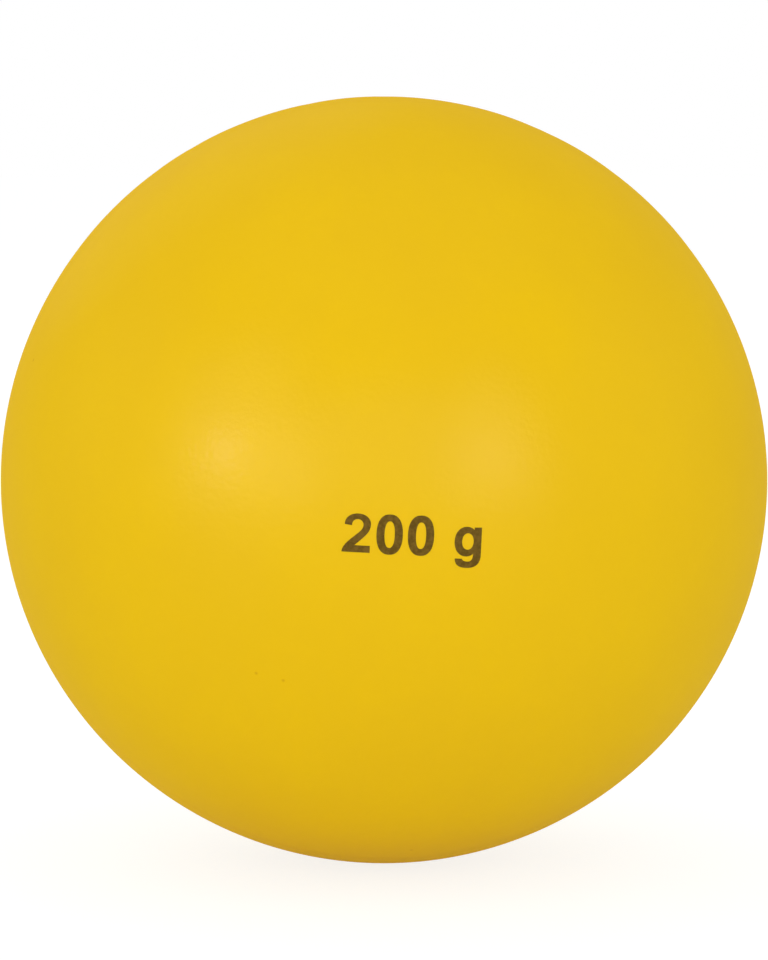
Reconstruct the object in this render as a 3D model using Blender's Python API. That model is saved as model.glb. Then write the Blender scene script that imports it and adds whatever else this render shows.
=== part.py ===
"""A soft weighted throwing ball: a moulded shell, the stopper in its filling port and the loose sand inside.

Everything is in metres. The origin is the ball's centre, +Z is up and the filling port points along +Y.
The shell and the stopper are turned about the port's axis, and the sand about the vertical.
"""

from math import acos, atan2, cos, pi, radians, sin, sqrt

import bmesh
import bpy

# Driving dimensions
BALL_DIAMETER = 0.080
WALL = 0.0046
GAP = 0.0003

# Filling port: a shallow recess for the stopper's head, and a bore down a boss on the inside
RECESS_DIAMETER = 0.0126
RECESS_DEPTH = 0.0018
BORE_DIAMETER = 0.0070
BOSS_DIAMETER = 0.0150
BOSS_LENGTH = 0.0042
BOSS_FILLET = 0.0014
EDGE_ROUNDING = 0.0004

# Stopper
HEAD_SINK = 0.0002
HEAD_DIMPLE_DIAMETER = 0.0026
HEAD_DIMPLE_DEPTH = 0.0004
SHANK_DIAMETER = 0.0056
RIB_COUNT = 3
RIB_PITCH = 0.0020
RIB_FOOT_WIDTH = 0.0016
RIB_CREST_WIDTH = 0.0004
BARB_DIAMETER = 0.0094
BARB_LENGTH = 0.0036
BARB_TIP_DIAMETER = 0.0034

# Sand: a level surface a little below the boss, so that it clears the boss at every angle of roll
FILL_LEVEL = -0.0082
FILL_CLEARANCE = 0.0005
FILL_RIM_ROUNDING = 0.0010

# Facets round the axis, and along each arc
SHELL_SIDES = 60
PLUG_SIDES = 30
FILL_SIDES = 48
OUTER_ARC_STEP = radians(6.0)
INNER_ARC_STEP = radians(7.5)
SMALL_ARC_STEPS = 4
MERGE_DISTANCE = 1e-6
SMOOTH_ANGLE = radians(35.0)

# Colours, linear, with roughness
YELLOW_PVC = ((0.855, 0.539, 0.014), 0.48)
STOPPER_PVC = ((0.800, 0.480, 0.016), 0.42)
DRY_SAND = ((0.520, 0.400, 0.250), 0.90)

# Worked-out dimensions
OUTER_RADIUS = BALL_DIAMETER / 2
INNER_RADIUS = OUTER_RADIUS - WALL
RECESS_RADIUS = RECESS_DIAMETER / 2
BORE_RADIUS = BORE_DIAMETER / 2
BOSS_RADIUS = BOSS_DIAMETER / 2
FILL_RADIUS = INNER_RADIUS - FILL_CLEARANCE


def height_on_sphere(radius, off_axis):
    """How far along its axis a sphere's surface is, at a distance off that axis."""
    return sqrt(radius**2 - off_axis**2)


SEAT_HEIGHT = height_on_sphere(OUTER_RADIUS, RECESS_RADIUS) - RECESS_DEPTH
BOSS_END = height_on_sphere(INNER_RADIUS, BOSS_RADIUS) - BOSS_LENGTH


def empty_scene():
    """Remove what the scene holds."""
    for item in list(bpy.data.objects):
        bpy.data.objects.remove(item, do_unlink=True)


def material(name, colour, roughness):
    """A Principled material in one colour."""
    made = bpy.data.materials.new(name)
    made.use_nodes = True
    shader = made.node_tree.nodes["Principled BSDF"]
    shader.inputs["Base Color"].default_value = (*colour, 1.0)
    shader.inputs["Roughness"].default_value = roughness
    shader.inputs["Metallic"].default_value = 0.0
    made.diffuse_color = (*colour, 1.0)
    return made


def arc(centre, radius, start, end, steps):
    """Points along an arc in the profile's plane, both ends included."""
    angles = [start + (end - start) * i / steps for i in range(steps + 1)]
    return [(centre[0] + radius * cos(a), centre[1] + radius * sin(a)) for a in angles]


def steps_for(turn, step):
    """How many facets a turn takes, each as near as can be to the step."""
    return max(1, round(abs(turn) / step))


def turned(name, profile, sides, finish):
    """A solid of revolution about its own Z axis, from points given as distance off the axis and height."""
    mesh = bpy.data.meshes.new(name)
    shape = bmesh.new()
    points = [shape.verts.new((off_axis, 0.0, height)) for off_axis, height in profile]
    edges = [shape.edges.new(pair) for pair in zip(points, points[1:])]
    bmesh.ops.spin(
        shape,
        geom=points + edges,
        cent=(0.0, 0.0, 0.0),
        axis=(0.0, 0.0, 1.0),
        angle=2 * pi,
        steps=sides,
        use_merge=True,
    )
    bmesh.ops.remove_doubles(shape, verts=shape.verts, dist=MERGE_DISTANCE)
    bmesh.ops.recalc_face_normals(shape, faces=shape.faces)
    shape.to_mesh(mesh)
    shape.free()
    mesh.shade_smooth()
    mesh.set_sharp_from_angle(angle=SMOOTH_ANGLE)
    mesh.materials.append(finish)
    made = bpy.data.objects.new(name, mesh)
    bpy.context.collection.objects.link(made)
    return made


def outer_surface():
    """The outside of the shell, from the pole opposite the port round to the recess, and down to the seat."""
    rim_centre_off_axis = RECESS_RADIUS + EDGE_ROUNDING
    rim_centre = (
        rim_centre_off_axis,
        height_on_sphere(OUTER_RADIUS - EDGE_ROUNDING, rim_centre_off_axis),
    )
    rim_angle = atan2(rim_centre[1], rim_centre[0])
    front = arc((0.0, 0.0), OUTER_RADIUS, -pi / 2, 0.0, steps_for(pi / 2, OUTER_ARC_STEP))
    back = arc((0.0, 0.0), OUTER_RADIUS, 0.0, rim_angle, steps_for(rim_angle, OUTER_ARC_STEP))
    rim = arc(rim_centre, EDGE_ROUNDING, rim_angle, pi, SMALL_ARC_STEPS)
    return front[:-1] + back[:-1] + rim + [(RECESS_RADIUS, SEAT_HEIGHT)]


def bore_and_boss():
    """The seat, the bore, the boss's rounded end and its side."""
    corner = (BOSS_RADIUS - EDGE_ROUNDING, BOSS_END + EDGE_ROUNDING)
    end = arc(corner, EDGE_ROUNDING, -pi / 2, 0.0, SMALL_ARC_STEPS)
    return [(BORE_RADIUS, SEAT_HEIGHT), (BORE_RADIUS, BOSS_END)] + end


def inner_surface():
    """The fillet from the boss into the wall, and the inside of the shell round to its far pole."""
    centre_off_axis = BOSS_RADIUS + BOSS_FILLET
    centre = (centre_off_axis, height_on_sphere(INNER_RADIUS - BOSS_FILLET, centre_off_axis))
    fillet_end = atan2(centre[1], centre[0])
    fillet = arc(centre, BOSS_FILLET, pi, fillet_end, SMALL_ARC_STEPS)
    turn = fillet_end + pi / 2
    inside = arc((0.0, 0.0), INNER_RADIUS, fillet_end, -pi / 2, steps_for(turn, INNER_ARC_STEP))
    return fillet + inside[1:]


def ball_shell(finish):
    """The one-piece moulded ball, open at its filling port."""
    shell = turned("ball_shell", outer_surface() + bore_and_boss() + inner_surface(), SHELL_SIDES, finish)
    shell.rotation_euler = (-pi / 2, 0.0, 0.0)
    return shell


def plug_head():
    """The stopper's head: a shallow dimple, the dome that follows the ball, and a rounded edge."""
    dome = OUTER_RADIUS - HEAD_SINK
    head_radius = RECESS_RADIUS - GAP
    dimple_radius = HEAD_DIMPLE_DIAMETER / 2
    edge_off_axis = head_radius - EDGE_ROUNDING
    edge_centre = (edge_off_axis, height_on_sphere(dome - EDGE_ROUNDING, edge_off_axis))
    edge_angle = atan2(edge_centre[1], edge_centre[0])
    top = arc((0.0, 0.0), dome, acos(dimple_radius / dome), edge_angle, SMALL_ARC_STEPS)
    edge = arc(edge_centre, EDGE_ROUNDING, edge_angle, 0.0, SMALL_ARC_STEPS)
    dip_radius = (dimple_radius**2 + HEAD_DIMPLE_DEPTH**2) / (2 * HEAD_DIMPLE_DEPTH)
    dip_centre = (0.0, top[0][1] - HEAD_DIMPLE_DEPTH + dip_radius)
    dip_angle = -acos(dimple_radius / dip_radius)
    dimple = arc(dip_centre, dip_radius, -pi / 2, dip_angle, SMALL_ARC_STEPS)
    return dimple[:-1] + top[:-1] + edge + [(head_radius, SEAT_HEIGHT + GAP)]


def plug_shank():
    """The stopper's shank with its sealing ribs, which the bore grips."""
    core = SHANK_DIAMETER / 2
    crest = BORE_RADIUS - GAP
    shank = [(core, SEAT_HEIGHT + GAP)]
    bore_middle = (SEAT_HEIGHT + BOSS_END) / 2
    for i in range(RIB_COUNT):
        middle = bore_middle + RIB_PITCH * ((RIB_COUNT - 1) / 2 - i)
        shank += [(core, middle + RIB_FOOT_WIDTH / 2), (crest, middle + RIB_CREST_WIDTH / 2)]
        shank += [(crest, middle - RIB_CREST_WIDTH / 2), (core, middle - RIB_FOOT_WIDTH / 2)]
    return shank


def plug_barb():
    """The arrowhead behind the boss that keeps the stopper in, with a rounded tip."""
    shoulder = BOSS_END - GAP
    barb_radius = BARB_DIAMETER / 2
    tip_radius = BARB_TIP_DIAMETER / 2
    lip = EDGE_ROUNDING
    tilt = -atan2(barb_radius - tip_radius, BARB_LENGTH - tip_radius)
    tip = arc((0.0, shoulder - BARB_LENGTH + tip_radius), tip_radius, tilt, -pi / 2, SMALL_ARC_STEPS)
    return [(SHANK_DIAMETER / 2, shoulder), (barb_radius, shoulder), (barb_radius, shoulder - lip)] + tip


def filler_plug(finish):
    """The stopper that closes the filling port."""
    plug = turned("filler_plug", plug_head() + plug_shank() + plug_barb(), PLUG_SIDES, finish)
    plug.rotation_euler = (-pi / 2, 0.0, 0.0)
    return plug


def sand_fill(finish):
    """The loose sand at rest: the lower part of a ball, with a level top."""
    rim_off_axis = height_on_sphere(FILL_RADIUS - FILL_RIM_ROUNDING, FILL_LEVEL - FILL_RIM_ROUNDING)
    rim_centre = (rim_off_axis, FILL_LEVEL - FILL_RIM_ROUNDING)
    rim_angle = atan2(rim_centre[1], rim_centre[0])
    turn = pi / 2 + rim_angle
    bowl = arc((0.0, 0.0), FILL_RADIUS, -pi / 2, rim_angle, steps_for(turn, INNER_ARC_STEP))
    rim = arc(rim_centre, FILL_RIM_ROUNDING, rim_angle, pi / 2, SMALL_ARC_STEPS)
    return turned("sand_fill", bowl[:-1] + rim + [(0.0, FILL_LEVEL)], FILL_SIDES, finish)


def main():
    """Build the ball's three pieces."""
    empty_scene()
    roll_axis = bpy.data.objects.new("fill_roll_axis", None)
    bpy.context.collection.objects.link(roll_axis)
    ball_shell(material("yellow_pvc", *YELLOW_PVC))
    filler_plug(material("stopper_pvc", *STOPPER_PVC))
    sand = sand_fill(material("dry_sand", *DRY_SAND))
    sand.parent = roll_axis


main()
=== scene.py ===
"""Dress a soft weighted throwing ball: its skin, stopper, printed weight and sand, on a plain stage.

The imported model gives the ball's size and place. Lengths are in metres. The ball's centre is the origin,
+Z is up and the filling port opens towards +Y, away from the camera.
"""

from math import acos, asin, atan, atan2, cos, pi, radians, sin, sqrt

import bmesh
import bpy
from bpy.props import FloatProperty, FloatVectorProperty, IntProperty, PointerProperty
from bpy.types import Operator, Panel, PropertyGroup
from mathutils import Matrix, Vector, noise
from mathutils.geometry import interpolate_bezier


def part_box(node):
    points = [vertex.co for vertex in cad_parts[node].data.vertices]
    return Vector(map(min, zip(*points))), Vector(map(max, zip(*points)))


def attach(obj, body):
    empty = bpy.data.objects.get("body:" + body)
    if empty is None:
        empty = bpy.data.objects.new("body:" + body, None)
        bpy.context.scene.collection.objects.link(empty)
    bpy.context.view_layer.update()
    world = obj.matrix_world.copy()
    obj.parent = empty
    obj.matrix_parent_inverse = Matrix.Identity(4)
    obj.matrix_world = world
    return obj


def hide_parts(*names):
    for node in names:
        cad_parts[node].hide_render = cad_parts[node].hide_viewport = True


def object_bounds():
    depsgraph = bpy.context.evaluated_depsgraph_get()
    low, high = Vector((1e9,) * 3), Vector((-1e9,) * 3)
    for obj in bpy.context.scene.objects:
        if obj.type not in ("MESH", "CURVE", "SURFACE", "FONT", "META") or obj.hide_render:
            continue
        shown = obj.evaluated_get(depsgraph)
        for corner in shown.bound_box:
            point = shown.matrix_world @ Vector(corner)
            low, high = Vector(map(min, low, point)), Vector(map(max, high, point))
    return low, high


bl_info = {
    "name": "Soft throwing ball",
    "version": (1, 0, 0),
    "blender": (4, 5, 0),
    "location": "3D View > Sidebar > Throwing ball",
    "description": "Models the skin, stopper, weight mark and sand of a soft weighted throwing ball",
    "category": "Add Mesh",
}

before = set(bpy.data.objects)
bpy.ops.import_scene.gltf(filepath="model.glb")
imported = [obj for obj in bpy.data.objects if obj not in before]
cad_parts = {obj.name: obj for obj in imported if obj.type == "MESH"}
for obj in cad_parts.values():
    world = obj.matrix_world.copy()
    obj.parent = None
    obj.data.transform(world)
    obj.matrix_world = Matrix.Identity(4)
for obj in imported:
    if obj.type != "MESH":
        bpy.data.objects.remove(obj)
CAD_LOW, CAD_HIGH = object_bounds()
SHELL_LOW, SHELL_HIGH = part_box("ball_shell")
PLUG_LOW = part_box("filler_plug")[0]
SAND_LOW, SAND_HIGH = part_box("sand_fill")

BALL_RADIUS = (SHELL_HIGH.x - SHELL_LOW.x) / 2
FILL_RADIUS = -SAND_LOW.z
FILL_LEVEL = SAND_HIGH.z

FULL_TURN = 2 * pi
QUARTER_TURN = pi / 2
MERGE_DISTANCE = 1e-7
SHARP_ANGLE = radians(40.0)


class SkinSizes(PropertyGroup):
    """Sizes of the moulded shell and its filling port."""

    seam_height: FloatProperty(
        name="Seam height",
        description="How far the parting line of the mould stands out of the skin",
        default=0.00008,
        precision=5,
        unit="LENGTH",
        subtype="DISTANCE",
    )
    seam_width: FloatProperty(
        name="Seam width",
        description="Width of the parting line at its foot",
        default=0.0007,
        precision=5,
        unit="LENGTH",
        subtype="DISTANCE",
    )
    wall: FloatProperty(
        name="Wall",
        description="Thickness of the moulded wall",
        default=0.0046,
        precision=4,
        unit="LENGTH",
        subtype="DISTANCE",
    )
    recess_diameter: FloatProperty(
        name="Recess diameter",
        description="Width of the recess that takes the stopper's head",
        default=0.0126,
        precision=4,
        unit="LENGTH",
        subtype="DISTANCE",
    )
    recess_depth: FloatProperty(
        name="Recess depth",
        description="Depth of that recess at its edge",
        default=0.0018,
        precision=4,
        unit="LENGTH",
        subtype="DISTANCE",
    )
    bore_diameter: FloatProperty(
        name="Bore diameter",
        description="Width of the hole through which the ball is filled",
        default=0.0070,
        precision=4,
        unit="LENGTH",
        subtype="DISTANCE",
    )
    boss_diameter: FloatProperty(
        name="Boss diameter",
        description="Width of the thickened collar round the bore, inside the ball",
        default=0.0150,
        precision=4,
        unit="LENGTH",
        subtype="DISTANCE",
    )
    boss_length: FloatProperty(
        name="Boss length",
        description="How far that collar stands into the ball",
        default=0.0042,
        precision=4,
        unit="LENGTH",
        subtype="DISTANCE",
    )
    sink_diameter: FloatProperty(
        name="Sink diameter",
        description="Width of the shallow dip that the thick boss draws into the skin as it cools",
        default=0.0200,
        precision=4,
        unit="LENGTH",
        subtype="DISTANCE",
    )
    sink_depth: FloatProperty(
        name="Sink depth",
        description="Depth of that dip at the recess",
        default=0.00012,
        precision=5,
        unit="LENGTH",
        subtype="DISTANCE",
    )


class StopperSizes(PropertyGroup):
    """Sizes of the stopper in the filling port."""

    fit_gap: FloatProperty(
        name="Fit gap",
        description="Gap between the stopper's head and the recess",
        default=0.00012,
        precision=5,
        unit="LENGTH",
        subtype="DISTANCE",
    )
    head_sink: FloatProperty(
        name="Head sink",
        description="How far the head's dome lies inside the ball's outside",
        default=0.0002,
        precision=5,
        unit="LENGTH",
        subtype="DISTANCE",
    )
    dimple_diameter: FloatProperty(
        name="Dimple diameter",
        description="Width of the gate dimple in the middle of the head",
        default=0.0026,
        precision=4,
        unit="LENGTH",
        subtype="DISTANCE",
    )
    dimple_depth: FloatProperty(
        name="Dimple depth",
        description="Depth of the gate dimple",
        default=0.0004,
        precision=4,
        unit="LENGTH",
        subtype="DISTANCE",
    )
    shank_diameter: FloatProperty(
        name="Shank diameter",
        description="Width of the shank between its ribs",
        default=0.0056,
        precision=4,
        unit="LENGTH",
        subtype="DISTANCE",
    )
    rib_count: IntProperty(
        name="Ribs",
        description="How many sealing ribs the shank has",
        default=3,
        min=0,
    )
    rib_pitch: FloatProperty(
        name="Rib pitch",
        description="Distance from one sealing rib to the next",
        default=0.0020,
        precision=4,
        unit="LENGTH",
        subtype="DISTANCE",
    )
    barb_diameter: FloatProperty(
        name="Barb diameter",
        description="Width of the barb that holds the stopper behind the boss",
        default=0.0094,
        precision=4,
        unit="LENGTH",
        subtype="DISTANCE",
    )


class MarkSizes(PropertyGroup):
    """Size and place of the printed weight."""

    figure_height: FloatProperty(
        name="Figure height",
        description="Height of a printed figure",
        default=0.00386,
        precision=5,
        unit="LENGTH",
        subtype="DISTANCE",
    )
    film: FloatProperty(
        name="Film",
        description="Thickness of the dried ink",
        default=0.00002,
        precision=6,
        unit="LENGTH",
        subtype="DISTANCE",
    )
    across: FloatProperty(
        name="Across",
        description="How far round to the right of the camera's axis the middle of the mark is",
        default=radians(3.87),
        subtype="ANGLE",
    )
    down: FloatProperty(
        name="Down",
        description="How far below the camera's axis the middle of the mark is",
        default=radians(7.57),
        subtype="ANGLE",
    )
    tilt: FloatProperty(
        name="Tilt",
        description="How far the mark is turned clockwise",
        default=radians(1.95),
        subtype="ANGLE",
    )


class BallColours(PropertyGroup):
    """Colours of the ball, linear."""

    pvc: FloatVectorProperty(
        name="PVC",
        description="Colour of the moulded skin",
        default=(0.858, 0.530, 0.0015),
        subtype="COLOR",
    )
    pvc_cloud: FloatVectorProperty(
        name="PVC cloud",
        description="Slightly duller colour that the skin drifts to in wide soft patches",
        default=(0.836, 0.511, 0.0030),
        subtype="COLOR",
    )
    stopper: FloatVectorProperty(
        name="Stopper",
        description="Colour of the stopper, cast from another batch",
        default=(0.790, 0.462, 0.0080),
        subtype="COLOR",
    )
    trimmed: FloatVectorProperty(
        name="Trimmed",
        description="Colour of the parting line where the flash was cut off",
        default=(0.745, 0.445, 0.0040),
        subtype="COLOR",
    )
    speck: FloatVectorProperty(
        name="Speck",
        description="Colour of the few specks of dust moulded into the skin",
        default=(0.690, 0.355, 0.0003),
        subtype="COLOR",
    )
    ink: FloatVectorProperty(
        name="Ink",
        description="Colour of the ink where it lies thick",
        default=(0.116, 0.065, 0.0064),
        subtype="COLOR",
    )
    thin_ink: FloatVectorProperty(
        name="Thin ink",
        description="Colour of the ink where the skin shows through",
        default=(0.182, 0.103, 0.0139),
        subtype="COLOR",
    )
    sand: FloatVectorProperty(
        name="Sand",
        description="Colour of most grains",
        default=(0.560, 0.430, 0.270),
        subtype="COLOR",
    )
    dark_sand: FloatVectorProperty(
        name="Dark sand",
        description="Colour of the darker grains",
        default=(0.240, 0.160, 0.090),
        subtype="COLOR",
    )


class StageSettings(PropertyGroup):
    """Camera and light."""

    elevation: FloatProperty(
        name="Elevation",
        description="How far above level the camera is",
        default=radians(5.0),
        subtype="ANGLE",
    )
    lens: FloatProperty(
        name="Lens",
        description="Focal length, in millimetres on a sensor 36 mm long",
        default=150.0,
    )
    ball_share: FloatProperty(
        name="Ball share",
        description="Share of the picture's height that the ball takes",
        default=0.79860,
        precision=5,
    )
    sky: FloatProperty(
        name="Sky",
        description="Strength of the even light from all round",
        default=0.695,
    )
    floor_through: FloatProperty(
        name="Floor through",
        description="Share of the light from below that the white table lets through to the ball",
        default=0.28,
        subtype="FACTOR",
    )
    shadow: FloatProperty(
        name="Shadow",
        description="How strongly the floor shows the ball's shadow",
        default=0.30,
        subtype="FACTOR",
    )


class BallSettings(PropertyGroup):
    """Everything that can be set on the ball and its stage."""

    skin: PointerProperty(type=SkinSizes)
    stopper: PointerProperty(type=StopperSizes)
    mark: PointerProperty(type=MarkSizes)
    colours: PointerProperty(type=BallColours)
    stage: PointerProperty(type=StageSettings)


def camera_axes(elevation):
    """Right, up and towards the camera, for a camera in front of the ball."""
    return (
        Vector((1.0, 0.0, 0.0)),
        Vector((0.0, sin(elevation), cos(elevation))),
        Vector((0.0, -cos(elevation), sin(elevation))),
    )


def on_ball(across, above, elevation):
    """The direction from the ball's centre to a place so far right of the camera's axis and above it."""
    right, up, near = camera_axes(elevation)
    return right * sin(across) * cos(above) + up * sin(above) + near * cos(across) * cos(above)


class Profile:
    """A line from point to point, each so far off the axis and so far along it, to be turned into a solid."""

    def __init__(self, off_axis, height):
        self.shape = bmesh.new()
        self.last = self.shape.verts.new((off_axis, 0.0, height))

    def line(self, off_axis, height, steps=1):
        """Go straight to a point, in equal steps."""
        start = self.last.co.copy()
        end = Vector((off_axis, 0.0, height))
        for i in range(1, steps + 1):
            self.last = bmesh.ops.extrude_vert_indiv(self.shape, verts=[self.last])["verts"][0]
            self.last.co = start.lerp(end, i / steps)

    def arc(self, centre_off_axis, centre_height, turn, steps):
        """Go round a centre, by spinning the last point about it."""
        spun = bmesh.ops.spin(
            self.shape,
            geom=[self.last],
            cent=(centre_off_axis, 0.0, centre_height),
            axis=(0.0, -1.0, 0.0),
            angle=turn,
            steps=steps,
        )
        self.last = next(part for part in spun["geom_last"] if isinstance(part, bmesh.types.BMVert))

    def turned(self, sides):
        """The closed solid that the line sweeps round the axis."""
        bmesh.ops.spin(
            self.shape,
            geom=self.shape.verts[:] + self.shape.edges[:],
            cent=(0.0, 0.0, 0.0),
            axis=(0.0, 0.0, 1.0),
            angle=FULL_TURN,
            steps=sides,
            use_merge=True,
        )
        bmesh.ops.remove_doubles(self.shape, verts=self.shape.verts, dist=MERGE_DISTANCE)
        bmesh.ops.recalc_face_normals(self.shape, faces=self.shape.faces)
        return self.shape


def height_on_sphere(radius, off_axis):
    """How far along its axis a sphere's surface is, at a distance off that axis."""
    return sqrt(radius**2 - off_axis**2)


def face_port(shape):
    """Turn a solid made about the vertical so that its top points along +Y, as the filling port does."""
    towards_port = Matrix.Rotation(-QUARTER_TURN, 3, "X")
    bmesh.ops.rotate(shape, cent=(0.0, 0.0, 0.0), matrix=towards_port, verts=shape.verts)


def finish_piece(name, shape, finish, body, node=None):
    """Make a shape an object that rides on a body, with its finish, in place of a node if one is given."""
    mesh = bpy.data.meshes.new(name)
    shape.to_mesh(mesh)
    shape.free()
    mesh.shade_smooth()
    mesh.set_sharp_from_angle(angle=SHARP_ANGLE)
    mesh.materials.append(finish)
    piece = bpy.data.objects.new(name, mesh)
    bpy.context.scene.collection.objects.link(piece)
    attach(piece, body)
    if node:
        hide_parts(node)
    return piece


# The PVC's colour: wide clouds and a fine mottle, each with its waves to the metre and the stretch of noise
# over which it fades in, and the most that the mottle takes
CLOUD_WAVES = 70.0
CLOUD_FADE = (0.35, 0.65)
MOTTLE_WAVES = 900.0
MOTTLE_FADE = (0.30, 0.70)
MOST_MOTTLE = 0.35

# The PVC's surface: waves to the metre of its swells and of its grain, and the heights of the two, first as
# the light on the PVC shows them and then as its shine does
SWELL_WAVES = 160.0
GRAIN_WAVES = 1800.0
RELIEF = (0.00003, 0.000016)
SHINE_RELIEF = (0.00004, 0.000042)

# All the PVC's shine is in a thin coat, which keeps it faint at the ball's edge
SATIN = {
    "roughness": 0.55,
    "specular_ior_level": 0.0,
    "coat_weight": 0.065,
    "coat_ior": 2.05,
    "coat_roughness": 0.26,
}

# Where the shell's colour changes, from the equator towards the port: both edges of the parting line, and the
# edge behind which dust may show
SEAM_EDGE = (-0.00022, -0.00010)
SEAM_FAR_EDGE = (0.00022, 0.00010)
FRONT_EDGE = (0.0, 0.0001)

# Each speck in the front: degrees to the right of the camera's axis, and degrees above it. It fades out
# between two distances from its middle
SPECKS = ((-68.9, 17.7), (-16.1, -28.9), (-20.4, -27.8), (11.6, -69.8))
SPECK_EDGE = (0.00002, 0.00024)

# Dust in the back half: cells to the metre, how far a grain's edge is from its cell's middle, in cells, and
# above what value of its own a cell holds a grain
DUST_CELLS = 450.0
DUST_EDGE = (0.035, 0.060)
DUST_CHANCE = (0.965, 0.966)

# The ink: waves to the metre where it lies thin, where it is duller and in its surface, with the stretches of
# noise that the first two change over, its roughness and gloss, and the height of its surface
THIN_INK_WAVES = 2600.0
THIN_INK_FADE = (0.40, 0.62)
DULL_INK_WAVES = 700.0
DULL_INK_FADE = (0.3, 0.7)
INK_ROUGHNESS = (0.50, 0.62)
INK_GLOSS = 0.05
INK_SURFACE_WAVES = 3000.0
INK_SURFACE_HEIGHT = 0.000004

# The sand: grains to the metre, the values of its own over which a grain turns dark, its roughness, how far
# from its middle a grain ends and how high it stands, and the waves and height of the heap's surface
SAND_GRAINS = 2200.0
DARK_GRAIN_FADE = (0.72, 0.95)
SAND_ROUGHNESS = (0.75, 0.95)
SAND_GRAIN_EDGE = 0.7
SAND_GRAIN_HEIGHT = 0.0002
SAND_SURFACE_WAVES = 180.0
SAND_SURFACE_HEIGHT = 0.0004


class Finish:
    """A material under construction: a Principled shader with patterns on the piece's own coordinates."""

    def __init__(self, name):
        self.material = bpy.data.materials.new(name)
        self.material.use_nodes = True
        self.tree = self.material.node_tree
        self.shader = self.tree.nodes["Principled BSDF"]
        self.place = self.node("ShaderNodeTexCoord").outputs["Object"]

    def node(self, kind, **values):
        """Add a node, with its properties and its inputs' values."""
        made = self.tree.nodes.new(kind)
        for name, value in values.items():
            if hasattr(made, name):
                setattr(made, name, value)
            else:
                made.inputs[name.replace("_", " ").title()].default_value = value
        return made

    def set(self, **values):
        """Set the shader's own sockets."""
        for name, value in values.items():
            self.shader.inputs[name.replace("_", " ").title().replace("Ior", "IOR")].default_value = value

    def noise(self, scale, detail=2.0, roughness=0.5):
        """Soft noise from 0 to 1, at so many waves to the metre."""
        made = self.node("ShaderNodeTexNoise", scale=scale, detail=detail, roughness=roughness)
        self.tree.links.new(self.place, made.inputs["Vector"])
        return made.outputs["Fac"]

    def cells(self, scale):
        """Cells at so many to the metre: the distance from each cell's middle, and a value of its own."""
        made = self.node("ShaderNodeTexVoronoi", scale=scale)
        self.tree.links.new(self.place, made.inputs["Vector"])
        split = self.node("ShaderNodeSeparateColor")
        self.tree.links.new(made.outputs["Color"], split.inputs["Color"])
        return made.outputs["Distance"], split.outputs["Red"]

    def range(self, value, low, high, to_low=0.0, to_high=1.0):
        """Stretch a value's range, cut off at both ends."""
        made = self.node("ShaderNodeMapRange", clamp=True)
        self.tree.links.new(value, made.inputs["Value"])
        for name, number in (("From Min", low), ("From Max", high), ("To Min", to_low), ("To Max", to_high)):
            made.inputs[name].default_value = number
        return made.outputs["Result"]

    def combine(self, operation, one, other):
        """Two values added, multiplied or compared."""
        made = self.node("ShaderNodeMath", operation=operation)
        self.tree.links.new(one, made.inputs[0])
        self.tree.links.new(other, made.inputs[1])
        return made.outputs["Value"]

    def port_height(self):
        """How far a point is from the equator, towards the filling port."""
        made = self.node("ShaderNodeSeparateXYZ")
        self.tree.links.new(self.place, made.inputs["Vector"])
        return made.outputs["Y"]

    def distance_to(self, places):
        """How far a point is from the nearest of some places."""
        nearest = None
        for place in places:
            made = self.node("ShaderNodeVectorMath", operation="DISTANCE")
            made.inputs[1].default_value = place
            self.tree.links.new(self.place, made.inputs[0])
            apart = made.outputs["Value"]
            nearest = self.combine("MINIMUM", nearest, apart) if nearest else apart
        return nearest

    def blend(self, share, one, other):
        """A colour between two others; either may be a colour or another node's output."""
        made = self.node("ShaderNodeMix", data_type="RGBA")
        self.tree.links.new(share, made.inputs["Factor"])
        for name, colour in (("A", one), ("B", other)):
            socket = next(s for s in made.inputs if s.name == name and s.type == "RGBA")
            if isinstance(colour, bpy.types.NodeSocket):
                self.tree.links.new(colour, socket)
            else:
                socket.default_value = (*colour, 1.0)
        return next(s for s in made.outputs if s.type == "RGBA")

    def link(self, value, name):
        """Lead a value into one of the shader's sockets."""
        self.tree.links.new(value, self.shader.inputs[name])

    def bump(self, layers, name="Normal"):
        """Relief from several patterns, each with its height in metres, in one of the shader's normals."""
        normal = None
        for value, height in layers:
            made = self.node("ShaderNodeBump", strength=1.0, distance=height)
            self.tree.links.new(value, made.inputs["Height"])
            if normal:
                self.tree.links.new(normal, made.inputs["Normal"])
            normal = made.outputs["Normal"]
        self.link(normal, name)


def moulded_pvc(name, colour, cloud_colour):
    """Satin soft PVC, a little cloudy and finely pebbled: its finish, and its colour to lay more over."""
    finish = Finish(name)
    clouds = finish.range(finish.noise(CLOUD_WAVES, detail=3.0), *CLOUD_FADE)
    mottle = finish.range(finish.noise(MOTTLE_WAVES), *MOTTLE_FADE, 0.0, MOST_MOTTLE)
    skin = finish.blend(mottle, finish.blend(clouds, colour, cloud_colour), cloud_colour)
    finish.link(skin, "Base Color")
    finish.set(**SATIN)
    surface = finish.noise(SWELL_WAVES, detail=3.0), finish.noise(GRAIN_WAVES)
    finish.bump(zip(surface, RELIEF))
    finish.bump(zip(surface, SHINE_RELIEF), "Coat Normal")
    return finish, skin


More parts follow.
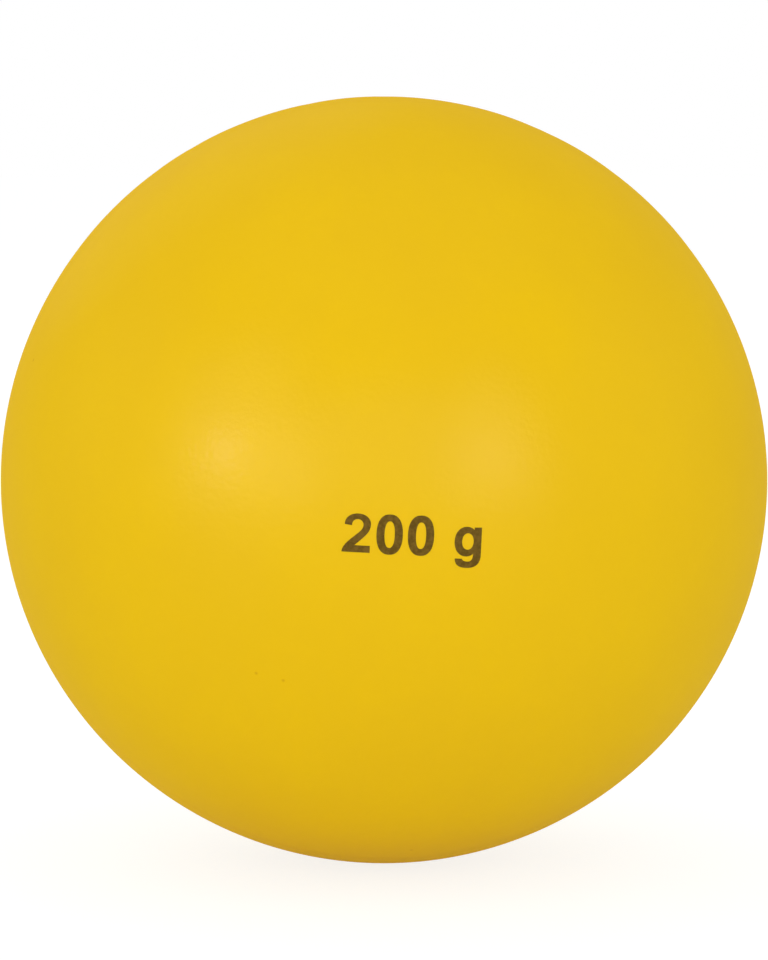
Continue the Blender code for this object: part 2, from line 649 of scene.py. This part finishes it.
def skin_pvc(name, colours, specks):
    """The shell's PVC, with specks moulded into it and a duller line where the flash was trimmed off."""
    finish, skin = moulded_pvc(name, colours.pvc, colours.pvc_cloud)
    height = finish.port_height()
    line = finish.combine("MULTIPLY", finish.range(height, *SEAM_EDGE), finish.range(height, *SEAM_FAR_EDGE))
    skin = finish.blend(line, skin, colours.trimmed)
    spots = finish.range(finish.distance_to(specks), *SPECK_EDGE, 1.0, 0.0)
    skin = finish.blend(spots, skin, colours.speck)
    distance, chance = finish.cells(DUST_CELLS)
    dust = finish.range(distance, *DUST_EDGE, 1.0, 0.0)
    dust = finish.combine("MULTIPLY", dust, finish.range(chance, *DUST_CHANCE))
    behind = finish.combine("MULTIPLY", dust, finish.range(height, *FRONT_EDGE))
    finish.link(finish.blend(behind, skin, colours.speck), "Base Color")
    return finish.material


def printed_ink(name, colour, thin_colour):
    """Pad-printed ink, mottled where it lies thin."""
    finish = Finish(name)
    patches = finish.range(finish.noise(THIN_INK_WAVES, detail=3.0, roughness=0.6), *THIN_INK_FADE)
    finish.link(finish.blend(patches, colour, thin_colour), "Base Color")
    finish.link(finish.range(finish.noise(DULL_INK_WAVES), *DULL_INK_FADE, *INK_ROUGHNESS), "Roughness")
    finish.set(specular_ior_level=INK_GLOSS)
    finish.bump([(finish.noise(INK_SURFACE_WAVES), INK_SURFACE_HEIGHT)])
    return finish.material


def dry_sand(name, colour, dark_colour):
    """Dry quartz sand: rounded grains about half a millimetre across, a few of them dark."""
    finish = Finish(name)
    distance, chance = finish.cells(SAND_GRAINS)
    dark = finish.range(chance, *DARK_GRAIN_FADE)
    finish.link(finish.blend(dark, colour, dark_colour), "Base Color")
    finish.link(finish.range(chance, 0.0, 1.0, *SAND_ROUGHNESS), "Roughness")
    surface = finish.noise(SAND_SURFACE_WAVES, detail=3.0)
    grains = finish.range(distance, 0.0, SAND_GRAIN_EDGE, 1.0, 0.0)
    finish.bump([(surface, SAND_SURFACE_HEIGHT), (grains, SAND_GRAIN_HEIGHT)])
    return finish.material


EDGE_ROUNDING = 0.0004
BORE_CHAMFER = 0.00025
BOSS_FILLET = 0.0014

# The parting line: the crest's share of its width, the least share of its height that the knife leaves, and
# the radius of the ring of noise that it follows round the ball
SEAM_CREST_SHARE = 0.34
SEAM_LEAST_HEIGHT = 0.25
SEAM_NOISE_RADIUS = 5.0

# Facets round the shell, and steps along its profile
SKIN_SIDES = 256
FRONT_STEPS = 84
BACK_STEPS = 68
SINK_STEPS = 10
SEAT_STEPS = 4
BORE_STEPS = 6
BOSS_SIDE_STEPS = 3
INSIDE_STEPS = 64
CORNER_STEPS = 8


def seat_height(skin):
    """Height of the recess's floor above the ball's centre."""
    return height_on_sphere(BALL_RADIUS, skin.recess_diameter / 2) - skin.recess_depth


def boss_end(skin):
    """Height of the boss's inner end above the ball's centre."""
    return height_on_sphere(BALL_RADIUS - skin.wall, skin.boss_diameter / 2) - skin.boss_length


def draw_outside(profile, skin, radius):
    """The outside of the shell: a ball with its parting line, and the dip round the filling port."""
    foot = skin.seam_width / 2 / radius
    crest = foot * SEAM_CREST_SHARE
    profile.arc(0.0, 0.0, QUARTER_TURN - foot, FRONT_STEPS)
    for angle, reach in ((-crest, BALL_RADIUS), (crest, BALL_RADIUS), (foot, radius)):
        profile.line(reach * cos(angle), reach * sin(angle))
    sink_radius = skin.sink_diameter / 2
    profile.arc(0.0, 0.0, acos(sink_radius / radius) - foot, BACK_STEPS)
    rim_off_axis = skin.recess_diameter / 2 + EDGE_ROUNDING
    for i in range(1, SINK_STEPS + 1):
        share = i / SINK_STEPS
        off_axis = sink_radius + (rim_off_axis - sink_radius) * share
        dip = skin.sink_depth * (1 - cos(pi * share)) / 2
        profile.line(off_axis, height_on_sphere(radius, off_axis) - dip)
    profile.arc(rim_off_axis, profile.last.co.z - EDGE_ROUNDING, QUARTER_TURN, CORNER_STEPS)


def draw_port(profile, skin):
    """The recess, the bore with its broken edge, and the rounded boss."""
    seat, end = seat_height(skin), boss_end(skin)
    bore, boss = skin.bore_diameter / 2, skin.boss_diameter / 2
    profile.line(skin.recess_diameter / 2, seat)
    profile.line(bore + BORE_CHAMFER, seat, SEAT_STEPS)
    profile.line(bore, seat - BORE_CHAMFER)
    profile.line(bore, end, BORE_STEPS)
    profile.line(boss - EDGE_ROUNDING, end, SEAT_STEPS)
    profile.arc(boss - EDGE_ROUNDING, end + EDGE_ROUNDING, QUARTER_TURN, CORNER_STEPS)


def draw_inside(profile, skin):
    """The fillet behind the boss and the inside of the wall."""
    radius = BALL_RADIUS - skin.wall
    off_axis = skin.boss_diameter / 2 + BOSS_FILLET
    height = height_on_sphere(radius - BOSS_FILLET, off_axis)
    slope = atan2(height, off_axis)
    profile.line(skin.boss_diameter / 2, height, BOSS_SIDE_STEPS)
    profile.arc(off_axis, height, slope - pi, CORNER_STEPS)
    profile.arc(0.0, 0.0, -QUARTER_TURN - slope, INSIDE_STEPS)


def trim_seam(shape, radius, seam_height):
    """Cut the parting line's crest down by an uneven amount all round, as a trimming knife leaves it."""
    for point in shape.verts:
        stands_out = point.co.length - radius
        if stands_out > seam_height / 2:
            around = Vector((point.co.x, point.co.y, 0.0)).normalized() * SEAM_NOISE_RADIUS
            kept = SEAM_LEAST_HEIGHT + (1 - SEAM_LEAST_HEIGHT) * sqrt(abs(noise.noise(around)))
            point.co *= (radius + seam_height * min(1.0, kept)) / point.co.length


class OBJECT_OT_ball_skin(Operator):
    """Model the moulded shell with its parting line and filling port"""

    bl_idname = "object.ball_skin"
    bl_label = "Moulded shell"

    def execute(self, context):
        ball = context.scene.throwing_ball
        skin = ball.skin
        radius = BALL_RADIUS - skin.seam_height
        profile = Profile(0.0, -radius)
        draw_outside(profile, skin, radius)
        draw_port(profile, skin)
        draw_inside(profile, skin)
        shape = profile.turned(SKIN_SIDES)
        trim_seam(shape, radius, skin.seam_height)
        face_port(shape)
        specks = [
            on_ball(radians(across), radians(up), ball.stage.elevation) * radius for across, up in SPECKS
        ]
        pvc = skin_pvc("skin_pvc", ball.colours, specks)
        finish_piece("moulded_skin", shape, pvc, "ball", "ball_shell")
        return {"FINISHED"}


RIB_FOOT_WIDTH = 0.0016
RIB_CREST_WIDTH = 0.0004
SEAL_GAP = 0.0003
BARB_LIP = 0.0004
BARB_TIP_RADIUS = 0.0017

# Facets round the stopper, and steps along its profile
PLUG_SIDES = 128
DOME_STEPS = 16
SHANK_STEPS = 3
RIB_STEPS = 2
BARB_STEPS = 4


def draw_plug_head(profile, stopper, head_radius, under):
    """The gate dimple, the dome that follows the ball and the head's rounded edge."""
    dome = BALL_RADIUS - stopper.head_sink
    dimple = stopper.dimple_diameter / 2
    dip = dip_radius(stopper)
    profile.arc(0.0, profile.last.co.z + dip, asin(dimple / dip), CORNER_STEPS)
    edge_off_axis = head_radius - EDGE_ROUNDING
    edge_height = height_on_sphere(dome - EDGE_ROUNDING, edge_off_axis)
    edge_angle = atan2(edge_height, edge_off_axis)
    profile.arc(0.0, 0.0, edge_angle - acos(dimple / dome), DOME_STEPS)
    profile.arc(edge_off_axis, edge_height, -edge_angle, CORNER_STEPS)
    profile.line(head_radius, under, SHANK_STEPS)


def dip_radius(stopper):
    """Radius of the ball that would press the gate dimple."""
    dimple = stopper.dimple_diameter / 2
    return (dimple**2 + stopper.dimple_depth**2) / (2 * stopper.dimple_depth)


def draw_plug_shank(profile, skin, stopper, under):
    """The shank with its sealing ribs."""
    core = stopper.shank_diameter / 2
    crest = skin.bore_diameter / 2 - SEAL_GAP
    middle = (seat_height(skin) + boss_end(skin)) / 2
    profile.line(core, under, SHANK_STEPS)
    for i in range(stopper.rib_count):
        rib = middle + stopper.rib_pitch * ((stopper.rib_count - 1) / 2 - i)
        profile.line(core, rib + RIB_FOOT_WIDTH / 2)
        profile.line(crest, rib + RIB_CREST_WIDTH / 2, RIB_STEPS)
        profile.line(crest, rib - RIB_CREST_WIDTH / 2)
        profile.line(core, rib - RIB_FOOT_WIDTH / 2, RIB_STEPS)


def draw_plug_barb(profile, skin, stopper):
    """The barb behind the boss, down to its rounded tip."""
    shoulder = boss_end(skin) - SEAL_GAP
    barb = stopper.barb_diameter / 2
    tip_height = PLUG_LOW.y + BARB_TIP_RADIUS
    slope = atan2(barb - BARB_TIP_RADIUS, shoulder - BARB_LIP - tip_height)
    profile.line(stopper.shank_diameter / 2, shoulder, RIB_STEPS)
    profile.line(barb, shoulder, RIB_STEPS)
    profile.line(barb, shoulder - BARB_LIP)
    profile.line(BARB_TIP_RADIUS * cos(slope), tip_height - BARB_TIP_RADIUS * sin(slope), BARB_STEPS)
    profile.arc(0.0, tip_height, slope - QUARTER_TURN, CORNER_STEPS)


class OBJECT_OT_ball_stopper(Operator):
    """Model the stopper in the filling port"""

    bl_idname = "object.ball_stopper"
    bl_label = "Stopper"

    def execute(self, context):
        ball = context.scene.throwing_ball
        skin, stopper = ball.skin, ball.stopper
        head_radius = skin.recess_diameter / 2 - stopper.fit_gap
        under = seat_height(skin) + SEAL_GAP
        dimple = stopper.dimple_diameter / 2
        rim = height_on_sphere(BALL_RADIUS - stopper.head_sink, dimple)
        profile = Profile(0.0, rim - stopper.dimple_depth)
        draw_plug_head(profile, stopper, head_radius, under)
        draw_plug_shank(profile, skin, stopper, under)
        draw_plug_barb(profile, skin, stopper)
        shape = profile.turned(PLUG_SIDES)
        face_port(shape)
        finish, _ = moulded_pvc("stopper_pvc", ball.colours.stopper, ball.colours.pvc_cloud)
        finish_piece("stopper", shape, finish.material, "ball", "filler_plug")
        return {"FINISHED"}


# Shapes of the figures, as shares of a figure's height: left edge at 0, foot at 0
ZERO_WIDTH = 0.648
ZERO_STEM = 0.198
ZERO_CAP = 0.170
ZERO_SQUARENESS = 2.35
ROUND_SQUARENESS = 2.1
STRAIGHT_STEP = 0.10

# Steps along the curves of the figures
ROUND_STEPS = 48
BOWL_OF_TWO_STEPS = 30
EYE_OF_TWO_STEPS = 24
BOWL_OF_G_STEPS = 36
CURVE_STEPS = 12


def squared_oval(centre, reach, squareness=ROUND_SQUARENESS, start=0.0, turn=FULL_TURN, steps=ROUND_STEPS):
    """Points along an oval a little squarer than an ellipse. A full turn doesn't repeat its first point."""
    half_width, half_height = reach
    points = []
    for i in range(steps if turn == FULL_TURN else steps + 1):
        angle = start + turn * i / steps
        across = abs(cos(angle)) ** (2 / squareness) * (1 if cos(angle) >= 0 else -1)
        up = abs(sin(angle)) ** (2 / squareness) * (1 if sin(angle) >= 0 else -1)
        points.append((centre[0] + half_width * across, centre[1] + half_height * up))
    return points


def curve(start, leave, arrive, end):
    """Points along a Bezier curve, its ends included."""
    knots = [Vector((*point, 0.0)) for point in (start, leave, arrive, end)]
    return [(point.x, point.y) for point in interpolate_bezier(*knots, CURVE_STEPS)]


def figure_zero():
    """The outlines of a nought: its oval and its counter."""
    centre = (ZERO_WIDTH / 2, 0.5)
    outside = squared_oval(centre, (ZERO_WIDTH / 2, 0.5), ZERO_SQUARENESS)
    counter = squared_oval(centre, (ZERO_WIDTH / 2 - ZERO_STEM, 0.5 - ZERO_CAP), ZERO_SQUARENESS)
    return [outside, counter]


def figure_two():
    """The outline of a two: bowl, neck and foot."""
    arc = {"start": radians(182.0), "turn": radians(-202.0), "steps": BOWL_OF_TWO_STEPS}
    bowl = squared_oval((0.382, 0.726), (0.322, 0.262), **arc)
    neck = curve(bowl[-1], (0.665, 0.510), (0.505, 0.375), (0.310, 0.200))
    arc = {"start": radians(-22.0), "turn": radians(208.0), "steps": EYE_OF_TWO_STEPS}
    eye = squared_oval((0.379, 0.708), (0.142, 0.142), **arc)
    back = curve((0.0, 0.026), (0.015, 0.290), (0.450, 0.480), eye[0])
    foot = [(0.697, 0.198), (0.697, 0.026)]
    return [bowl + neck[1:] + foot + back[:-1] + eye]


def letter_g():
    """The outlines of a small g: bowl, stem and hook, and its counter."""
    stem_left, stem_right, top = 0.492, 0.676, 0.732
    centre, reach = (0.300, 0.378), (0.300, 0.370)
    meets = acos(((stem_left - centre[0]) / reach[0]) ** (ROUND_SQUARENESS / 2))
    arc = {"start": meets, "turn": FULL_TURN - 2 * meets, "steps": BOWL_OF_G_STEPS}
    bowl = squared_oval(centre, reach, **arc)
    under = curve((stem_right, 0.030), (0.672, -0.170), (0.560, -0.280), (0.350, -0.280))
    under += curve((0.350, -0.280), (0.150, -0.280), (0.030, -0.225), (0.025, -0.045))[1:]
    over = curve((0.205, -0.050), (0.215, -0.095), (0.270, -0.120), (0.350, -0.120))
    over += curve((0.350, -0.120), (0.440, -0.120), (0.478, -0.060), (0.482, 0.070))[1:]
    outline = [(stem_left, top), (stem_right, top)] + under + over + bowl[::-1]
    counter = squared_oval((0.334, 0.383), (0.146, 0.205))
    return [outline, counter]


# Each character of the mark with the place of its left edge, as a share of a figure's height
MARK = ((figure_two, 0.0), (figure_zero, 0.847), (figure_zero, 1.620), (letter_g, 2.783))
MARK_WIDTH = 3.450


def closed_line(shape, points):
    """Draw a closed line through points, with more points on its long straight stretches."""
    spaced = []
    for start, end in zip(points, points[1:] + points[:1]):
        start, end = Vector((*start, 0.0)), Vector((*end, 0.0))
        pieces = max(1, round((end - start).length / STRAIGHT_STEP))
        spaced += [shape.verts.new(start.lerp(end, i / pieces)) for i in range(pieces)]
    return [shape.edges.new(pair) for pair in zip(spaced, spaced[1:] + spaced[:1])]


def flat_mark():
    """The mark lying flat in the XY plane, its middle at the origin, one unit to a figure's height."""
    shape = bmesh.new()
    for outlines, left in MARK:
        glyph = bmesh.new()
        edges = [edge for outline in outlines() for edge in closed_line(glyph, outline)]
        bmesh.ops.triangle_fill(glyph, use_beauty=True, edges=edges, normal=(0.0, 0.0, 1.0))
        bmesh.ops.translate(glyph, verts=glyph.verts, vec=(left - MARK_WIDTH / 2, -0.5, 0.0))
        mesh = bpy.data.meshes.new("glyph")
        glyph.to_mesh(mesh)
        glyph.free()
        shape.from_mesh(mesh)
        bpy.data.meshes.remove(mesh)
    return shape


def give_thickness(shape):
    """Close a flat shape into a slab one unit thick."""
    top = bmesh.ops.extrude_face_region(shape, geom=shape.faces[:])["geom"]
    raised = [part for part in top if isinstance(part, bmesh.types.BMVert)]
    bmesh.ops.translate(shape, verts=raised, vec=(0.0, 0.0, 1.0))
    bmesh.ops.recalc_face_normals(shape, faces=shape.faces)


def lay_round_ball(shape, mark, elevation, radius):
    """Bend the slab round the ball, from a film's depth under the skin to a film's height over it."""
    middle = on_ball(mark.across, -mark.down, elevation)
    level = camera_axes(elevation)[1].cross(middle).normalized()
    along = Matrix.Rotation(-mark.tilt, 3, middle) @ level
    above = middle.cross(along)
    for point in shape.verts:
        angle = point.co.x * mark.figure_height / radius
        rise = point.co.y * mark.figure_height / radius
        reach = radius + mark.film if point.co.z > 0.5 else radius - mark.film
        around = middle * cos(angle) + along * sin(angle)
        point.co = (around * cos(rise) + above * sin(rise)) * reach


class OBJECT_OT_ball_mark(Operator):
    """Print the ball's weight on its skin"""

    bl_idname = "object.ball_mark"
    bl_label = "Weight mark"

    def execute(self, context):
        ball = context.scene.throwing_ball
        shape = flat_mark()
        give_thickness(shape)
        lay_round_ball(shape, ball.mark, ball.stage.elevation, BALL_RADIUS - ball.skin.seam_height)
        ink = printed_ink("printed_ink", ball.colours.ink, ball.colours.thin_ink)
        finish_piece("weight_mark", shape, ink, "ball")
        return {"FINISHED"}


SAND_RIM_ROUNDING = 0.0010

# How deep the sand's hollows are, and their waves to the metre
SAND_UNEVENNESS = 0.0006
SAND_HOLLOW_WAVES = 90.0

# Facets round the sand, and steps along its bowl and across its top
SAND_SIDES = 160
BOWL_STEPS = 56
SAND_TOP_STEPS = 48


class OBJECT_OT_ball_sand(Operator):
    """Model the loose sand inside the ball"""

    bl_idname = "object.ball_sand"
    bl_label = "Sand"

    def execute(self, context):
        colours = context.scene.throwing_ball.colours
        rim_height = FILL_LEVEL - SAND_RIM_ROUNDING
        rim_off_axis = height_on_sphere(FILL_RADIUS - SAND_RIM_ROUNDING, rim_height)
        rim_angle = atan2(rim_height, rim_off_axis)
        profile = Profile(0.0, -FILL_RADIUS)
        profile.arc(0.0, 0.0, QUARTER_TURN + rim_angle, BOWL_STEPS)
        profile.arc(rim_off_axis, rim_height, QUARTER_TURN - rim_angle, CORNER_STEPS)
        profile.line(0.0, FILL_LEVEL, SAND_TOP_STEPS)
        shape = profile.turned(SAND_SIDES)
        for point in shape.verts:
            if point.co.z > FILL_LEVEL - SAND_UNEVENNESS / 10:
                wave = noise.fractal(point.co * SAND_HOLLOW_WAVES, 1.0, 2.0, 3)
                point.co.z -= SAND_UNEVENNESS * min(1.0, max(0.0, 0.5 + wave))
        sand = dry_sand("dry_sand", colours.sand, colours.dark_sand)
        finish_piece("loose_sand", shape, sand, "ballast", "sand_fill")
        return {"FINISHED"}


FLOOR_SIZE = 12.0
FLOOR_COLOUR = (0.90, 0.95, 0.96)
LAMP_DISTANCE = 1.2

# How brightly the floor glows where it is seen, so that it is white away from the ball's shadow
WHITE_LEVEL = 1.16

# The camera's sensor, in millimetres along the picture's height
SENSOR_LENGTH = 36.0

# Each soft lamp: name, share of the light on a surface that faces it, azimuth to the right of the camera,
# elevation and size
LAMPS = (
    ("key_lamp", 0.01, radians(-47.4), radians(11.0), 0.10),
    ("front_lamp", 0.46, radians(0.0), radians(1.5), 1.40),
    ("left_lamp", 0.08, radians(-85.0), radians(12.0), 1.20),
    ("right_lamp", 0.07, radians(85.0), radians(12.0), 1.20),
    ("top_lamp", 0.09, radians(0.0), radians(85.0), 1.60),
    ("back_lamp", 0.11, radians(-150.0), radians(35.0), 1.10),
)

# Each pale card, seen only in the ball's shine: name, brightness against white, azimuth, elevation, width and
# height
CARDS = (
    ("left_bright_card", 51.0, radians(-47.4), radians(11.0), 0.10, 0.10),
    ("left_card", 1.90, radians(-43.5), radians(6.5), 0.92, 1.60),
    ("near_left_card", 1.70, radians(-37.0), radians(4.0), 0.74, 0.80),
    ("right_bright_card", 3.60, radians(33.0), radians(11.0), 0.28, 0.28),
    ("right_card", 2.20, radians(33.5), radians(5.0), 0.60, 1.30),
    ("middle_card", 0.10, radians(3.0), radians(13.0), 1.30, 1.80),
)


# The rays that carry what is seen: straight, in a reflection or through glass
SEEN_PATHS = ("Is Camera Ray", "Is Glossy Ray", "Is Transmission Ray")


def seen_share(tree):
    """A value of 1 for the rays that carry what is seen, and 0 for those that only carry light to things."""
    path = tree.nodes.new("ShaderNodeLightPath")
    share = path.outputs[SEEN_PATHS[0]]
    for name in SEEN_PATHS[1:]:
        either = tree.nodes.new("ShaderNodeMath")
        either.operation = "MAXIMUM"
        tree.links.new(share, either.inputs[0])
        tree.links.new(path.outputs[name], either.inputs[1])
        share = either.outputs["Value"]
    return share


def white_sky(strength):
    """Even light from all round, seen as plain white."""
    world = bpy.data.worlds.new("white_sky")
    bpy.context.scene.world = world
    world.use_nodes = True
    tree = world.node_tree
    background = tree.nodes["Background"]
    background.inputs["Color"].default_value = (1.0, 1.0, 1.0, 1.0)
    level = tree.nodes.new("ShaderNodeMapRange")
    level.inputs["To Min"].default_value = strength
    level.inputs["To Max"].default_value = 1.0
    tree.links.new(seen_share(tree), level.inputs["Value"])
    tree.links.new(level.outputs["Result"], background.inputs["Strength"])


def white_table(through, shadow):
    """A pale floor that is seen as white with a faint shadow, and lets some light through from below."""
    material = bpy.data.materials.new("white_table")
    material.use_nodes = True
    tree = material.node_tree
    tree.nodes.remove(tree.nodes["Principled BSDF"])
    matte = tree.nodes.new("ShaderNodeBsdfDiffuse")
    matte.inputs["Color"].default_value = (*FLOOR_COLOUR, 1.0)
    glow = tree.nodes.new("ShaderNodeEmission")
    glow.inputs["Strength"].default_value = WHITE_LEVEL
    clear = tree.nodes.new("ShaderNodeBsdfTransparent")
    seen = tree.nodes.new("ShaderNodeMixShader")
    seen.inputs["Fac"].default_value = shadow
    tree.links.new(glow.outputs["Emission"], seen.inputs[1])
    tree.links.new(matte.outputs["BSDF"], seen.inputs[2])
    unseen = tree.nodes.new("ShaderNodeMixShader")
    unseen.inputs["Fac"].default_value = through
    tree.links.new(matte.outputs["BSDF"], unseen.inputs[1])
    tree.links.new(clear.outputs["BSDF"], unseen.inputs[2])
    either = tree.nodes.new("ShaderNodeMixShader")
    tree.links.new(seen_share(tree), either.inputs["Fac"])
    tree.links.new(unseen.outputs["Shader"], either.inputs[1])
    tree.links.new(seen.outputs["Shader"], either.inputs[2])
    tree.links.new(either.outputs["Shader"], tree.nodes["Material Output"].inputs["Surface"])
    return material


def direction(azimuth, elevation):
    """From the ball towards a place to the right of the camera and above level."""
    return Vector((sin(azimuth) * cos(elevation), -cos(azimuth) * cos(elevation), sin(elevation)))


def looking_back(towards):
    """The turn of a lamp or camera that looks from a direction back to the ball."""
    return (-towards).to_track_quat("-Z", "Y")


def area_light(name, azimuth, elevation, size, power):
    """A soft oval light that looks at the ball."""
    light = bpy.data.lights.new(name, "AREA")
    light.shape = "ELLIPSE"
    light.size, light.size_y = size
    light.energy = power
    lamp = bpy.data.objects.new(name, light)
    towards = direction(azimuth, elevation)
    lamp.location = towards * LAMP_DISTANCE
    lamp.rotation_mode = "QUATERNION"
    lamp.rotation_quaternion = looking_back(towards)
    bpy.context.scene.collection.objects.link(lamp)
    return lamp


def place_floor(stage):
    """The floor under the ball."""
    shape = bmesh.new()
    bmesh.ops.create_grid(shape, x_segments=1, y_segments=1, size=FLOOR_SIZE / 2)
    bmesh.ops.translate(shape, verts=shape.verts, vec=(0.0, 0.0, CAD_LOW.z))
    mesh = bpy.data.meshes.new("floor")
    shape.to_mesh(mesh)
    shape.free()
    mesh.materials.append(white_table(stage.floor_through, stage.shadow))
    floor = bpy.data.objects.new("floor", mesh)
    bpy.context.scene.collection.objects.link(floor)


def place_lights():
    """The lamps, each with its share of the light, and the cards, each as bright as it should look."""
    for name, share, azimuth, elevation, size in LAMPS:
        area_light(name, azimuth, elevation, (size, size), share * pi**2 * LAMP_DISTANCE**2)
    for name, brightness, azimuth, elevation, width, height in CARDS:
        area = pi * width * height / 4
        card = area_light(name, azimuth, elevation, (width, height), brightness * pi * area)
        card.visible_diffuse = False


def place_camera(stage, radius):
    """The camera, at the distance from which the ball takes its share of the picture."""
    camera = bpy.data.cameras.new("camera")
    camera.lens = stage.lens
    camera.sensor_width = SENSOR_LENGTH
    half_view = atan(stage.ball_share * SENSOR_LENGTH / 2 / stage.lens)
    eye = bpy.data.objects.new("camera", camera)
    towards = direction(0.0, stage.elevation)
    eye.location = towards * (radius / sin(half_view))
    eye.rotation_mode = "QUATERNION"
    eye.rotation_quaternion = looking_back(towards)
    bpy.context.scene.collection.objects.link(eye)
    bpy.context.scene.camera = eye


class OBJECT_OT_ball_stage(Operator):
    """Set up the floor, the light and the camera"""

    bl_idname = "object.ball_stage"
    bl_label = "Stage"

    def execute(self, context):
        ball = context.scene.throwing_ball
        place_floor(ball.stage)
        white_sky(ball.stage.sky)
        place_lights()
        place_camera(ball.stage, BALL_RADIUS - ball.skin.seam_height)
        context.scene.view_settings.view_transform = "Standard"
        return {"FINISHED"}


class VIEW3D_PT_throwing_ball(Panel):
    """The ball's pieces and stage"""

    bl_label = "Throwing ball"
    bl_space_type = "VIEW_3D"
    bl_region_type = "UI"
    bl_category = "Throwing ball"

    def draw(self, context):
        ball = context.scene.throwing_ball
        for operator in OPERATORS:
            self.layout.operator(operator.bl_idname)
        for group in (ball.skin, ball.stopper, ball.mark, ball.colours, ball.stage):
            box = self.layout.box()
            for name in group.__annotations__:
                box.prop(group, name)


OPERATORS = (
    OBJECT_OT_ball_stage,
    OBJECT_OT_ball_skin,
    OBJECT_OT_ball_stopper,
    OBJECT_OT_ball_mark,
    OBJECT_OT_ball_sand,
)
GROUPS = (SkinSizes, StopperSizes, MarkSizes, BallColours, StageSettings, BallSettings)
CLASSES = (*GROUPS, *OPERATORS, VIEW3D_PT_throwing_ball)


def register():
    """Add the settings, the operators and the panel."""
    for kind in CLASSES:
        bpy.utils.register_class(kind)
    bpy.types.Scene.throwing_ball = PointerProperty(type=BallSettings)


def unregister():
    """Take them away again."""
    del bpy.types.Scene.throwing_ball
    for kind in reversed(CLASSES):
        bpy.utils.unregister_class(kind)


def main():
    """Build the stage and every piece."""
    register()
    bpy.ops.object.ball_stage()
    bpy.ops.object.ball_skin()
    bpy.ops.object.ball_stopper()
    bpy.ops.object.ball_mark()
    bpy.ops.object.ball_sand()


if __name__ == "__main__":
    main()
